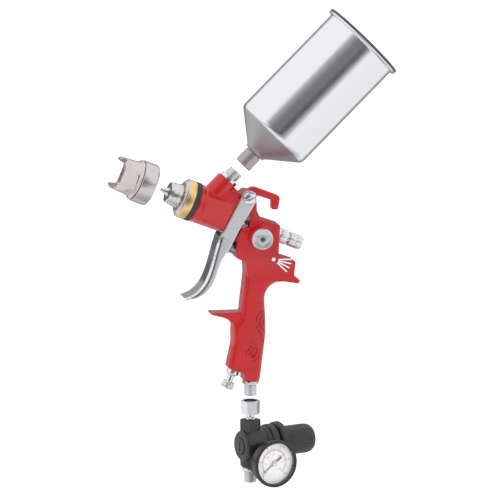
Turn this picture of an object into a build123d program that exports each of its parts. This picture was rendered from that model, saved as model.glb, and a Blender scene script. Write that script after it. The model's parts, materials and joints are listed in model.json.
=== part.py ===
from build123d import *
from math import cos, radians, sin
import os

# Gravity-feed HVLP spray gun with its paint cup, air cap and inlet regulator, in millimetres.
# Frame: +Z up along the air inlet and regulator axis, -X the way the gun sprays, +Y to the gun's
# right. Origin: lower end of the regulator's male inlet thread, on its axis.
# The cup, the air cap and the regulator stand off their seats and slide on to them.

# ---- driving dimensions -------------------------------------------------------------------
SPRAY_TILT = 23.0  # degrees that the spray axis rises towards the nozzle
CUP_TILT = 44.3  # degrees that the cup axis rises from +X
TIP_X, TIP_Z = -96.3, 318.5  # needle tip
CUP_X, CUP_Z = -15.0, 334.2  # end of the paint inlet thread
ADJUSTER_TILT = 22.0  # degrees of the air adjuster off the vertical
KNOB_TURN = 17.0  # degrees of the regulator knob behind +X

BODY_HALF = 11.8  # half thickness of the valve block and web
HANDLE_HALF = 11.0
HOOK_HALF = 4.5
GRIP_EDGE = 4.5  # rounding along the grip
VALVE_DROP = -30.0  # height of the air valve axis above the spray axis
PIVOT_U, PIVOT_W = 89.1, 25.7  # trigger pivot, back from the tip and above the spray axis
FAN_U, FAN_W = 114.7, -8.0  # fan control axis

G_QUARTER_R = 6.58  # G1/4 male thread, major radius
PAINT_THREAD_R = 7.9  # M16 paint inlet thread
RUNNING = 0.05  # radial running clearance

CUP_R = 43.2
CUP_WALL = 1.2
CUP_TOP = 189.6  # rim, along the cup axis from the end of the inlet thread
NIPPLE_END_Z = 93.6  # lower end of the gun's air nipple

ARM_INNER, ARM_OUTER = 12.6, 14.2  # trigger plates, distance from the middle plane
TRIGGER_WALL = 1.6

# ---- frames ---------------------------------------------------------------------------------
S_SIN, S_COS = sin(radians(SPRAY_TILT)), cos(radians(SPRAY_TILT))
C_SIN, C_COS = sin(radians(CUP_TILT)), cos(radians(CUP_TILT))
A_SIN, A_COS = sin(radians(ADJUSTER_TILT)), cos(radians(ADJUSTER_TILT))
K_SIN, K_COS = sin(radians(KNOB_TURN)), cos(radians(KNOB_TURN))


def spray(u, w=0.0, y=0.0):
    """Row point u behind the tip, w above the spray axis and y to the right."""
    return Vector(TIP_X + u * S_COS + w * S_SIN, y, TIP_Z - u * S_SIN + w * S_COS)


SPRAY = Plane(origin=spray(0), x_dir=(S_SIN, 0, S_COS), z_dir=(S_COS, 0, -S_SIN))
VALVE = Plane(origin=spray(0, VALVE_DROP), x_dir=(S_SIN, 0, S_COS), z_dir=(S_COS, 0, -S_SIN))
CUP = Plane(origin=(CUP_X, 0, CUP_Z), x_dir=(-C_SIN, 0, C_COS), z_dir=(C_COS, 0, C_SIN))
FAN = Plane(origin=spray(FAN_U, FAN_W), x_dir=(1, 0, 0), z_dir=(0, -1, 0))
PIVOT = Plane(origin=spray(PIVOT_U, PIVOT_W), x_dir=(1, 0, 0), z_dir=(0, -1, 0))
ADJUSTER = Plane(origin=(-18.0, 0, 122.4), x_dir=(A_COS, 0, -A_SIN), z_dir=(-A_SIN, 0, -A_COS))
UPRIGHT = Plane.XY
KNOB_AXIS_Z = 39.6
KNOB = Plane(origin=(0, 0, KNOB_AXIS_Z), x_dir=(0, 0, 1), z_dir=(K_COS, K_SIN, 0))
GAUGE_ALONG, GAUGE_OUT, GAUGE_Z = 9.7, 4.0, 25.4
GAUGE = Plane(
    origin=(
        GAUGE_ALONG * K_COS + GAUGE_OUT * K_SIN,
        GAUGE_ALONG * K_SIN - GAUGE_OUT * K_COS,
        GAUGE_Z,
    ),
    x_dir=(K_COS, K_SIN, 0),
    z_dir=(K_SIN, -K_COS, 0),
)

PARTS = {}


# ---- shape helpers --------------------------------------------------------------------------
def turned(plane, stations, bore=0.0):
    """Solid of revolution about plane's Z through (height, radius) stations, plainly bored."""
    outer = [(radius, height) for height, radius in stations]
    points = [(bore, outer[0][1])] + outer + [(bore, outer[-1][1])]
    profile = Plane.XZ * make_face(Polyline(*points, close=True))
    return plane * revolve(profile, Axis.Z)


def rod(plane, start, end, radius):
    """Plain cylinder along plane's Z from start to end."""
    return turned(plane, [(start, radius), (end, radius)])


def tube(plane, start, end, outer, inner):
    return turned(plane, [(start, outer), (end, outer)], inner)


def rod_between(a, b, radius):
    axis = b - a
    return rod(Plane(origin=a, z_dir=axis), 0, axis.length, radius)


def hexagon(plane, start, end, across_flats, chamfer=0.8):
    """Hexagonal prism with its corners turned off at both ends."""
    radius = across_flats / 2 / cos(radians(30))
    face = Pos(0, 0, start) * RegularPolygon(radius, 6)
    prism = plane * extrude(face, end - start)
    inner = radius - chamfer
    stations = [(start, inner), (start + 0.6 * chamfer, radius)]
    stations += [(end - 0.6 * chamfer, radius), (end, inner)]
    return prism & turned(plane, stations)


def threaded(plane, start, end, radius, pitch, depth, bore=0.0):
    """Rod with ring grooves at the pitch of its thread."""
    stations = [(start, radius - depth)]
    count = int((end - start) / pitch)
    step = (end - start) / count
    for i in range(count):
        low = start + i * step
        stations.append((low + 0.32 * step, radius))
        stations.append((low + 0.62 * step, radius))
        stations.append((low + step, radius - depth))
    return turned(plane, stations, bore)


def fluted(solid, plane, start, end, radius, count, flute):
    """Cuts count round flutes of radius flute along the rim of a knob."""
    cutter = rod(Plane.XY, start, end, flute)
    cutters = [
        plane * (Rot(0, 0, 360 / count * i) * Pos(radius, 0, 0) * cutter) for i in range(count)
    ]
    return solid - cutters


def side_face(corners):
    """Face in the middle plane from (x, z, corner radius) values."""
    points = [(x, z) for x, z, _ in corners]
    radii = [radius for _, _, radius in corners]
    return Plane.XZ * make_face(FilletPolyline(*points, radius=radii, close=True))


def plate(corners, half, edge=0.0):
    """Side outline made into a plate of half thickness, with rounded edges."""
    solid = extrude(side_face(corners), half, both=True)
    if edge:
        rim = solid.edges().filter_by(lambda e: abs(abs(e.center().Y) - half) < 0.01)
        solid = fillet(rim, edge)
    return solid


def uw(u, w, radius=0.0):
    """Outline corner given in the spray frame."""
    point = spray(u, w)
    return (point.X, point.Z, radius)


def coil(plane, start, end, radius, wire, turns):
    """Round-wire compression spring along plane's Z."""
    height = end - start - 2 * wire
    path = Helix(pitch=height / turns, height=height, radius=radius)
    section = Plane(origin=path @ 0, z_dir=path % 0) * Circle(wire)
    return plane * (Pos(0, 0, start + wire) * sweep(section, path))


def add(name, solid):
    PARTS[name] = solid


# ---- gun body ---------------------------------------------------------------------------------
def barrel():
    stations = [(39, 19.8), (39.6, 20.4), (43.2, 20.4), (43.8, 19.5), (44.9, 19.5), (45.6, 20.2)]
    stations += [(62, 19.6), (80.5, 19.2), (82, 17.8)]
    round_part = turned(SPRAY, stations)
    half = [(38, 21), (45.2, 21), (47.2, 17.8), (80, BODY_HALF), (83, BODY_HALF)]
    right = [(w, u) for u, w in half]
    left = [(-w, u) for u, w in reversed(half)]
    plan = SPRAY * (Plane.YZ * make_face(Polyline(*right, *left, close=True)))
    return round_part & extrude(plan, 25, both=True)


def block():
    corners = [
        uw(60, 12, 0),
        uw(96.6, 12, 2.5),
        (-2.3, 275.6, 3),
        (-12.0, 275.1, 2),
        (-17.4, 267.6, 1.5),
        (-17.4, 243.3, 2),
        (-7.6, 239.0, 0),
        (10.0, 225.0, 0),
        (32.0, 225.0, 0),
        (28.2, 247.0, 0),
        (29.8, 277.0, 2),
        (8.6, 284.6, 5),
        (4.6, 293.5, 6),
        (4.4, 303.0, 2),
        (0.6, 311.0, 5),
        (-8.0, 311.6, 4),
        (-12.6, 305.6, 2),
        uw(60, 26, 0),
    ]
    return plate(corners, BODY_HALF, 1.2)


def grip():
    corners = [
        (24.0, 232.0, 0),
        (-6.4, 232.0, 0),
        (-10.8, 195.0, 0),
        (-12.6, 178.0, 8),
        (-20.6, 170.0, 14),
        (-20.0, 152.0, 30),
        (-25.8, 126.0, 0),
        (-8.6, 118.9, 0),
        (-8.6, 111.2, 0),
        (8.4, 111.2, 0),
        (14.6, 160.0, 60),
        (14.4, 178.0, 40),
        (12.6, 214.9, 18),
        (34.0, 216.4, 0),
        (34.0, 232.0, 0),
    ]
    solid = extrude(side_face(corners), HANDLE_HALF, both=True)
    rim = solid.edges().filter_by(lambda e: abs(abs(e.center().Y) - HANDLE_HALF) < 0.01)
    front = rim.filter_by(lambda e: e.center().X < -9.5 and e.center().Z > 127)
    rear = rim.filter_by(lambda e: e.center().X > 9 and 112 < e.center().Z < 217)
    return fillet(front + rear, GRIP_EDGE)


def hump():
    corners = [
        (-7.6, 247.0, 0),
        (-6.4, 224.0, 0),
        (18.0, 224.0, 0),
        (24.0, 216.2, 0),
        (34.0, 216.2, 8),
        (50.0, 213.2, 1.0),
        (51.4, 217.4, 1.2),
        (44.8, 220.6, 2),
        (46.6, 237.6, 2),
        (31.0, 243.4, 3),
        (24.0, 247.0, 0),
    ]
    return plate(corners, BODY_HALF - 0.3, 1.2)


def finger_rest():
    corners = [
        (-4.0, 184.9, 0),
        (-43.6, 185.6, 0.6),
        (-43.8, 183.6, 0.6),
        (-28.5, 179.4, 20),
        (-20.4, 173.0, 8),
        (-18.0, 160.0, 0),
        (-4.0, 160.0, 0),
    ]
    return plate(corners, 9.5, 0.6)


def hook():
    corners = [
        (-12.0, 300.0, 0),
        (-12.6, 308.8, 2),
        (1.6, 318.2, 9),
        (31.6, 306.2, 4),
        (29.0, 292.0, 2),
        (21.8, 292.6, 2),
        (22.0, 302.6, 1.5),
        (7.0, 308.0, 2),
        (2.0, 300.0, 0),
    ]
    return plate(corners, HOOK_HALF, 1.4)


def saddle():
    """Web between the cup inlet boss and the root of the hook, level with the boss's face."""
    corners = [(-25.0, 306.0, 0), (-12.0, 303.0, 0), (-9.8, 309.2, 1), (-17.0, 316.6, 0), (-24.0, 318.0, 0)]
    return plate(corners, 8.5, 1.0)


def fan_boss():
    return turned(FAN, [(0, 13.0), (10, 13.0), (14, 12.2), (23.4, 11.0), (24, 10.4)])


def grip_grooves():
    """Sunk arcs on both sides of the grip: two sets of rings about one centre each."""
    grooves = []
    for centre_x, centre_z, radii in ((22.0, 172.0, (9, 12.6, 16.2)), (-1.0, 140.5, (3.2, 7.4))):
        for radius in radii:
            for side in (-1, 1):
                centre = (centre_x, side * (HANDLE_HALF + 0.2), centre_z)
                grooves.append(Plane(origin=centre, z_dir=(0, 1, 0)) * Torus(radius, 0.75))
    return grooves


def gun_body():
    solid = barrel() + block() + grip() + hump() + finger_rest() + hook() + saddle() + fan_boss()
    solid += rod(CUP, -44, -13.6, 12.0)
    solid += rod(UPRIGHT, 109.7, 122, 8.4)
    solid += rod(PIVOT, -BODY_HALF, BODY_HALF, 6.6)
    # paint way: nozzle thread, fluid chamber, packing thread, cup bore
    solid -= rod(SPRAY, 38, 46, 6.3)
    solid -= rod(SPRAY, 45, 66, 5.0)
    solid -= rod(SPRAY, 65, 84, 4.2)
    solid -= rod(CUP, -52, -12, 5.0)
    solid -= rod(CUP, -24, -12, 7.1)
    # needle guide and spring bore in the block
    solid -= rod(SPRAY, 92, 115, 2.3)
    solid -= rod(SPRAY, 113.5, 140, 5.6)
    solid -= rod(SPRAY, 127, 140, 6.9)
    solid -= rod(SPRAY, 138.1, 150, 8.5)
    # air valve chamber
    solid -= rod(VALVE, 95, 154, 6.5)
    # head: two air rings that face the distribution ring
    solid -= tube(SPRAY, 38, 44.5, 16.2, 11.0)
    # air ways: up the handle, up to the web, forward to the head
    solid -= rod_between(Vector(0, 0, 112), spray(127, VALVE_DROP), 3.8)
    top = 98.5
    for side, low in ((8.0, spray(118.5, VALVE_DROP, 8.0)), (-8.0, spray(FAN_U, FAN_W, -8.0))):
        solid -= rod_between(low, spray(top, 17, side), 2.1)
        solid -= rod_between(spray(top, 17, side), spray(42, 12, side), 2.1)
    solid -= rod_between(spray(117, VALVE_DROP, -8), spray(FAN_U, FAN_W, -8), 2.1)
    # bores for the fan control, the pivot, the air nipple and the adjuster
    solid -= rod(FAN, 6.6, 25, 4.6)
    solid -= rod(FAN, 14, 25, 6.6)
    solid -= rod(PIVOT, -20, 20, 3.0 + RUNNING)
    solid -= rod(UPRIGHT, 109, 121.5, 6.1)
    solid -= rod(ADJUSTER, -43, 1, 4.1)
    solid -= rod(ADJUSTER, -11, 1, 5.1)
    solid -= grip_grooves()
    add("gun_body", solid)


# ---- fluid head -------------------------------------------------------------------------------
def fluid_head():
    flange = turned(CUP, [(-13.5, 9.4), (-13.1, 10.2), (-10.0, 10.2), (-9.4, 9.6)])
    nipple = flange + rod(CUP, -23.5, -13.4, 7.0)
    nipple += rod(CUP, -9.6, -8.4, 6.6)
    nipple += threaded(CUP, -8.4, 0, PAINT_THREAD_R, 1.4, 0.75)
    nipple -= rod(CUP, -24, 1, 5.0)
    add("paint_inlet_nipple", nipple)
    ring = [(22.2, 16.8), (22.6, 17.7), (24.0, 18.6), (24.9, 20.4), (25.6, 20.8), (33.3, 20.8)]
    ring = turned(SPRAY, ring + [(33.9, 20.4)], 8.4)
    hole = Pos(13.6, 0, 0) * rod(Plane.XY, 20, 40, 1.6)
    holes = [SPRAY * (Rot(0, 0, 30 * i) * hole) for i in range(12)]
    add("air_distribution_ring", ring - holes)
    add("head_gasket", tube(SPRAY, 33.9, 39.0, 21.0, 8.4) - holes)
    add("fluid_nozzle", fluid_nozzle())
    collar = tube(SPRAY, 66.0, 72.0, 4.1, 1.95)
    add("needle_packing", collar)
    gland = rod(SPRAY, 72.0, 82.0, 4.1) + hexagon(SPRAY, 82.0, 84.6, 11.0)
    gland -= rod(SPRAY, 71, 86, 1.95)
    add("needle_packing_screw", gland)


def fluid_nozzle():
    head = turned(
        SPRAY,
        [(0.5, 1.5), (1.4, 1.8), (8.2, 4.6), (8.3, 10.4), (8.9, 11.2), (13.0, 11.2), (13.1, 11.9)]
        + [(17.6, 11.9), (17.7, 12.5), (22.1, 12.5)],
    )
    flats = SPRAY * extrude(Pos(0, 0, 13.2) * RegularPolygon(12.6, 8), 4.2)
    keep = rod(SPRAY, 0, 13.2, 13) + flats + rod(SPRAY, 17.4, 23, 13)
    nozzle = (head & keep) + rod(SPRAY, 22.0, 39.0, 8.3) + rod(SPRAY, 38.9, 45.8, 6.2)
    jet = Pos(8.4, 0, 0) * rod(Plane.XY, 8.0, 14.0, 0.9)
    nozzle -= [SPRAY * (Rot(0, 0, 30 * i + 15) * jet) for i in range(12)]
    nozzle -= turned(SPRAY, [(0.4, 0.85), (2.0, 0.85), (8.0, 2.8), (46.0, 3.4)])
    return nozzle


# ---- needle, guide nut and fluid knob -----------------------------------------------------------
def needle_group():
    stations = [(0.0, 0.25), (0.4, 0.45), (2.0, 0.8), (7.0, 1.25), (56, 1.25), (58, 1.9), (116.6, 1.9)]
    stations += [(116.7, 3.5), (118.2, 3.5), (118.3, 1.6), (134.0, 1.6)]
    add("fluid_needle", turned(SPRAY, stations))
    add("needle_collar", turned(SPRAY, [(89.8, 4.2), (90.2, 4.6), (92.8, 4.6), (93.2, 4.2)], 1.9))
    add("needle_spring", coil(SPRAY, 118.6, 148.0, 2.9, 0.45, 11))
    nut = turned(SPRAY, [(138.2, 7.1), (138.9, 7.9), (146.4, 7.9), (147.4, 6.9)])
    nut = fluted(nut, SPRAY, 137, 148, 8.15, 22, 0.7)
    nut += rod(SPRAY, 127.2, 138.4, 6.8)
    nut -= rod(SPRAY, 126, 148, 5.5)
    add("needle_guide_nut", nut)
    outline = [(148.8, 6.2), (149.6, 7.6), (155.6, 7.6), (156.2, 7.2), (156.8, 7.6), (162.4, 7.6)]
    knob = turned(SPRAY, outline + [(164.0, 6.0)])
    knob = fluted(knob, SPRAY, 148, 165, 7.9, 20, 0.7)
    knob += rod(SPRAY, 136.0, 149.0, 5.4)
    knob -= rod(SPRAY, 135, 150, 3.9)
    knob -= rod(SPRAY, 162.6, 165, 3.4)
    add("fluid_knob", knob)


# ---- air valve ----------------------------------------------------------------------------------
def air_valve():
    gland = hexagon(VALVE, 89.7, 93.4, 15.0) + turned(VALVE, [(93.3, 6.2), (98.3, 6.2)])
    gland += turned(VALVE, [(88.1, 4.2), (88.5, 4.8), (89.8, 4.8)])
    gland += rod(VALVE, 98.2, 107.0, 6.4)
    gland -= rod(VALVE, 86, 100, 2.0 + RUNNING)
    gland -= rod(VALVE, 99.5, 108, 4.6)
    add("air_valve_gland", gland)
    add("air_valve_packing", tube(VALVE, 99.6, 103.4, 4.5, 2.0 + RUNNING))
    add("air_valve_seat", tube(VALVE, 121.0, 123.6, 6.45, 4.0))
    stem = rod(VALVE, 79.4, 126.0, 2.0)
    stem += turned(VALVE, [(78.7, 1.2), (79.5, 2.0)])
    stem += turned(VALVE, [(123.7, 5.2), (124.5, 5.8), (126.4, 5.8), (127.0, 5.0)])
    stem += rod(VALVE, 126.9, 138.0, 1.8)
    add("air_valve_stem", stem)
    add("air_valve_spring", coil(VALVE, 127.2, 153.6, 4.2, 0.55, 8))


# ---- trigger --------------------------------------------------------------------------------------
def trigger():
    front = [(77.3, -15.4), (76.2, -28.0), (77.6, -42.0), (79.4, -56.0), (79.9, -68.0)]
    front += [(78.6, -79.0), (74.6, -88.0), (66.4, -96.4)]
    rear = [(68.0, -97.9), (76.4, -92.9), (83.2, -86.6), (87.4, -76.2), (88.4, -62.7)]
    rear += [(87.5, -47.1), (89.1, -37.3), (91.0, -20.5)]
    front_pts = [(spray(u, w).X, spray(u, w).Z) for u, w in front]
    rear_pts = [(spray(u, w).X, spray(u, w).Z) for u, w in rear]
    head_left = spray(PIVOT_U - 8.0, PIVOT_W - 2.0)
    head_right = spray(PIVOT_U + 8.0, PIVOT_W - 2.0)
    lines = Spline(*front_pts) + Line(front_pts[-1], rear_pts[0]) + Spline(*rear_pts)
    lines += Line(rear_pts[-1], (head_right.X, head_right.Z))
    lines += Line((head_right.X, head_right.Z), (head_left.X, head_left.Z))
    lines += Line((head_left.X, head_left.Z), front_pts[0])
    outline = Plane.XZ * make_face(lines)
    outer = extrude(outline, ARM_OUTER, both=True)
    outer += rod(PIVOT, 0, ARM_OUTER, 8.2) + rod(PIVOT, -ARM_OUTER, 0, 6.9)
    finger = [(u + TRIGGER_WALL, w) for u, w in front]
    finger = [(spray(u, w).X, spray(u, w).Z) for u, w in finger]
    back = [spray(120, -100), spray(120, 45), spray(60, 45), spray(60, -24)]
    back = [(p.X, p.Z) for p in back]
    cut_top = spray(front[1][0] + TRIGGER_WALL, -24)
    inner_lines = Spline(*[(cut_top.X, cut_top.Z)] + finger[2:])
    path = Polyline(finger[-1], *back, (cut_top.X, cut_top.Z))
    inner = Plane.XZ * make_face(inner_lines + path)
    solid = outer - extrude(inner, ARM_INNER, both=True)
    solid -= rod(PIVOT, -30, 30, 3.0 + RUNNING)
    add("trigger", solid)
    pin = Plane(origin=spray(87.9, 4.3), x_dir=(1, 0, 0), z_dir=(0, -1, 0))
    add("trigger_cross_pin", rod(pin, -ARM_INNER, ARM_INNER, 1.55))


def pivot_set():
    add("trigger_pivot_sleeve", tube(PIVOT, -14.4, 14.4, 3.0, 2.25))
    screw = rod(PIVOT, -14.0, 14.6, 2.2)
    dome = [(14.55, 6.2), (15.0, 6.6), (15.9, 6.6), (17.2, 5.6), (18.0, 3.6), (18.3, 0.4)]
    screw += turned(PIVOT, dome)
    screw -= PIVOT * (Rot(0, 0, 14) * Pos(0, 0, 17.6) * Box(16, 1.2, 2.4))
    add("trigger_pivot_screw", screw)
    nut = turned(PIVOT, [(-17.6, 4.8), (-16.9, 6.2), (-14.55, 6.2)])
    nut += rod(PIVOT, -14.6, -14.05, 2.2)
    add("trigger_pivot_nut", nut)


# ---- fan control -----------------------------------------------------------------------------------
def fan_control():
    housing = turned(FAN, [(14.1, 6.5), (24.0, 6.5), (24.05, 9.4), (25.3, 9.4)])
    housing -= rod(FAN, 13, 26, 3.6 + RUNNING)
    add("fan_valve_housing", housing)
    add("fan_valve_oring", turned(FAN, [(12.0, 3.9), (12.3, 4.5), (13.6, 4.5), (13.9, 3.9)], 2.6))
    needle = turned(FAN, [(7.4, 0.8), (11.0, 2.55), (14.2, 2.55), (14.3, 3.6), (26.4, 3.6)])
    add("fan_needle", needle)
    knob = turned(
        FAN,
        [(26.5, 8.8), (26.9, 10.9), (27.5, 11.3), (30.9, 11.3), (31.9, 10.5), (31.9, 9.9), (31.5, 9.5)]
        + [(31.5, 4.6), (31.9, 4.3), (31.9, 3.4), (31.4, 3.1)],
    )
    knob = fluted(knob, FAN, 26, 33, 11.75, 30, 0.6)
    knob -= rod(FAN, 29.8, 33, 2.5)
    add("fan_knob", knob)
    screw = turned(FAN, [(29.8, 2.45), (31.7, 2.45), (32.2, 1.9)])
    screw -= FAN * (Rot(0, 0, 50) * Pos(0, 0, 32.1) * Box(6, 0.7, 1.0))
    add("fan_knob_screw", screw)


# ---- air inlet and adjuster --------------------------------------------------------------------------
def air_inlet():
    nipple = hexagon(UPRIGHT, 106.6, 109.6, 16.6, 0.9)
    nipple += threaded(UPRIGHT, NIPPLE_END_Z + 0.8, 105.4, G_QUARTER_R, 1.337, 0.8)
    nipple += turned(UPRIGHT, [(NIPPLE_END_Z, 5.5), (NIPPLE_END_Z + 0.8, 5.8)])
    nipple += rod(UPRIGHT, 105.3, 106.7, 5.6) + rod(UPRIGHT, 109.5, 121.0, 6.0)
    nipple -= turned(UPRIGHT, [(90, 3.9), (NIPPLE_END_Z, 3.9), (95.2, 3.4), (122, 3.4)])
    nipple -= turned(UPRIGHT, [(NIPPLE_END_Z - 1, 5.2), (NIPPLE_END_Z + 2, 3.4)])
    add("air_inlet_nipple", nipple)


def air_adjuster():
    housing = turned(ADJUSTER, [(0.1, 6.3), (0.7, 6.6), (4.6, 6.6), (5.6, 5.8), (6.0, 4.6), (7.2, 4.6)])
    housing += rod(ADJUSTER, -10.8, 0.2, 5.0)
    housing -= rod(ADJUSTER, -12, 8, 3.4 + RUNNING)
    add("air_adjuster_housing", housing)
    knob = turned(ADJUSTER, [(13.4, 4.0), (14.0, 6.2), (15.0, 6.5), (19.8, 6.5), (21.2, 5.2)])
    knob = fluted(knob, ADJUSTER, 13, 22, 6.85, 18, 0.7)
    knob += rod(ADJUSTER, -11.9, 13.6, 3.4)
    knob += rod(ADJUSTER, -30.0, -11.8, 2.65)
    knob += turned(ADJUSTER, [(-38.5, 1.2), (-34.0, 3.9), (-29.9, 3.9)])
    add("air_adjuster_knob", knob)


# ---- air cap -------------------------------------------------------------------------------------------
def air_cap():
    outer = [(-53.4, 15.4), (-52.6, 16.8), (-50.6, 17.5), (-36.0, 18.4), (-30.6, 19.2), (-29.9, 21.0)]
    outer += [(-29.2, 21.6), (-27.5, 21.6), (-27.4, 20.1), (-24.7, 20.1), (-24.6, 20.9), (-23.5, 20.9)]
    cap = turned(SPRAY, outer)
    cap -= turned(SPRAY, [(-43.0, 2.6), (-37.6, 12.2), (-36.2, 13.2), (-23, 13.2)])
    cap -= rod(SPRAY, -56, -42, 2.2)
    # slanted flats on the near and far sides leave a ridge that carries the horns
    for side in (-1, 1):
        flat = [(5.0, -60), (5.6, -46.5), (18.8, -31.6), (24, -31.6), (24, -60)]
        flat = [(side * y, u) for y, u in flat]
        face = SPRAY * (Plane.YZ * make_face(Polyline(*flat, close=True)))
        cap -= extrude(face, 26, both=True)
    # gap between the horns, with sloped inner faces and a dished floor
    half = [(14.0, -58), (12.4, -50.0), (11.0, -46.2), (8.6, -44.8)]
    gap = half + [(-w, u) for w, u in reversed(half)]
    face = SPRAY * (Plane.XZ * make_face(Polyline(*gap, close=True)))
    cap -= extrude(face, 26, both=True)
    # air holes: side jets in the horns and small holes round the middle
    for side in (-1, 1):
        cap -= rod_between(spray(-50.2, side * 15.2), spray(-49.2, side * 9.0), 1.3)
        cap -= rod_between(spray(-50.4, side * 15.2), spray(-37.0, side * 12.2), 1.5)
        cap -= rod_between(spray(-47, side * 4.6), spray(-39, side * 4.6), 0.6)
    add("air_cap", cap)
    add("air_cap_seal", tube(SPRAY, -27.35, -26.65, 21.2, 20.15))


def air_cap_ring():
    stations = [(-26.6, 21.8), (-26.0, 22.3), (-13.2, 22.3), (-11.4, 21.9), (-10.5, 21.35)]
    ring = turned(SPRAY, stations, 20.45)
    ring -= rod(SPRAY, -25.0, -10, 21.15)
    ring -= rod(SPRAY, -23.5, -22.0, 21.75)
    add("air_cap_ring", ring)
    add("air_cap_snap_ring", tube(SPRAY, -23.3, -22.2, 21.6, 17.6))


# ---- cup ------------------------------------------------------------------------------------------------
def cup_profile(inset):
    """Half outline of the cup, from the neck to the rim, moved in by inset."""
    return [
        (29.0 + inset, 12.2 - inset),
        (31.6, 15.2 - inset),
        (50.4, 38.6 - inset),
        (52.8, 41.6 - inset),
        (56.4, CUP_R - inset),
    ]


def paint_cup():
    cup = turned(CUP, [(28.0, 12.0)] + cup_profile(0) + [(CUP_TOP, CUP_R)], 8.6)
    inside = [(29.2, 9.0), (29.3, 10.8)] + cup_profile(CUP_WALL)[1:]
    cup -= turned(CUP, inside + [(192, CUP_R - CUP_WALL)])
    stations = [(CUP_TOP - 2.4, 46.4), (CUP_TOP - 2.0, 47.1), (CUP_TOP - 0.5, 47.1), (CUP_TOP, 46.4)]
    rim = turned(CUP, stations, CUP_R - CUP_WALL)
    cup = cup + rim
    add("paint_cup", cup)
    neck = turned(CUP, [(9.4, 8.9), (9.9, 9.4), (25.0, 9.4), (26.0, 8.9), (26.0, 8.4), (27.0, 8.4)])
    neck += turned(CUP, [(26.9, 11.4), (27.9, 12.0)])
    neck += rod(CUP, 27.8, 33.4, 8.5)
    neck -= rod(CUP, 9, 20.4, PAINT_THREAD_R + 0.2)
    neck -= rod(CUP, 9, 34, 5.4)
    add("cup_neck", neck)
    add("cup_gasket", tube(CUP, 18.9, 20.4, 8.0, 5.5))
    add("cup_filter", cup_filter())


def cup_filter():
    """Strainer that stands in the neck: a slotted thimble with a rim."""
    strainer = tube(CUP, 33.5, 34.5, 7.6, 4.4) + tube(CUP, 22.0, 33.6, 5.3, 4.4)
    slots = []
    for i in range(6):
        slot = Rot(0, 0, 60 * i) * Pos(5, 0, 28) * Box(4, 1.6, 8)
        slots.append(CUP * slot)
    return strainer - slots


def cup_lid():
    rim = [(189.8, 46.6), (190.4, 47.2), (191.4, 47.2), (192.0, 46.4)]
    lid = turned(CUP, [(184.0, 41.0), (189.7, 41.6)] + rim)
    lid -= rod(CUP, 183, 188.6, 39.4)
    lid -= rod(CUP, 190.5, 194, 36.0)
    lid -= rod(CUP, 183, 194, 4.1)
    add("cup_lid", lid)
    stations = [(186.0, 3.6), (187.4, 4.0), (190.5, 4.0), (190.55, 7.2), (192.2, 7.2), (192.8, 6.4)]
    vent = turned(CUP, stations)
    vent -= rod(CUP, 185, 194, 1.2)
    add("lid_vent", vent)


# ---- regulator ----------------------------------------------------------------------------------
def regulator_body():
    stations = [(-11.8, 14.2), (-10.4, 15.9), (-8.6, 16.5), (12.0, 17.0), (15.0, 18.4), (18.4, 18.4)]
    solid = turned(KNOB, stations)
    solid = fluted(solid, KNOB, -13, -3, 17.2, 26, 0.9)
    post = Pos(0, 0, 40) * Rot(0, 0, 32) * Rectangle(15.6, 15.6)
    solid += chamfer(extrude(post, 28.0).edges().group_by(Axis.Z)[-1], 0.6)
    solid += turned(UPRIGHT, [(15.6, 8.6), (18.0, 10.6), (36.0, 11.4)])
    port = turned(GAUGE, [(-4.0, 15.6), (7.0, 15.6), (12.4, 10.6), (13.0, 9.8)])
    solid += port - rod(UPRIGHT, 0, 15.7, 10.4) - rod(KNOB, 18.4, 40, 40)
    # supply side, spring side and outlet ways
    solid -= rod(UPRIGHT, 15, 27.0, 5.0)
    solid -= rod(UPRIGHT, 27, 33, 3.0)
    solid -= rod(KNOB, -13, -2.0, 9.0)
    solid -= rod(KNOB, -2.5, 11.0, 3.2)
    solid -= rod(KNOB, 10.0, 19, 14.0)
    solid -= rod_between(Vector(0, 0, 30), KNOB.origin + KNOB.z_dir * -7, 2.6)
    solid -= rod(UPRIGHT, 46, 69, 4.6)
    chamber = KNOB.origin + KNOB.z_dir * 12
    solid -= rod_between(Vector(0, 0, 50), chamber + Vector(0, 0, 9), 2.4)
    solid -= rod(GAUGE, 5.0, 14, 4.25)
    solid -= rod_between(GAUGE.origin + GAUGE.z_dir * 6, chamber + Vector(0, 0, -9), 1.6)
    add("regulator_body", solid)


def regulator_valve():
    plug = turned(KNOB, [(-12.9, 7.6), (-12.3, 8.6), (-9.4, 8.9)])
    plug -= KNOB * (Pos(0, 0, -12.9) * Box(11, 1.8, 2.0))
    add("regulator_end_plug", plug)
    stations = [(-8.0, 2.2), (-4.2, 2.2), (-4.1, 5.4), (-2.1, 5.4), (-2.0, 2.9), (-1.9, 1.3), (11.6, 1.3)]
    poppet = turned(KNOB, stations)
    add("regulator_poppet", poppet)
    add("poppet_spring", coil(KNOB, -9.3, -4.2, 3.6, 0.4, 3))
    disc = rod(KNOB, 11.7, 12.5, 8.0)
    membrane = rod(KNOB, 17.4, 18.4, 13.9)
    add("diaphragm", disc + rod(KNOB, 12.4, 17.5, 3.0) + membrane)


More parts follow.
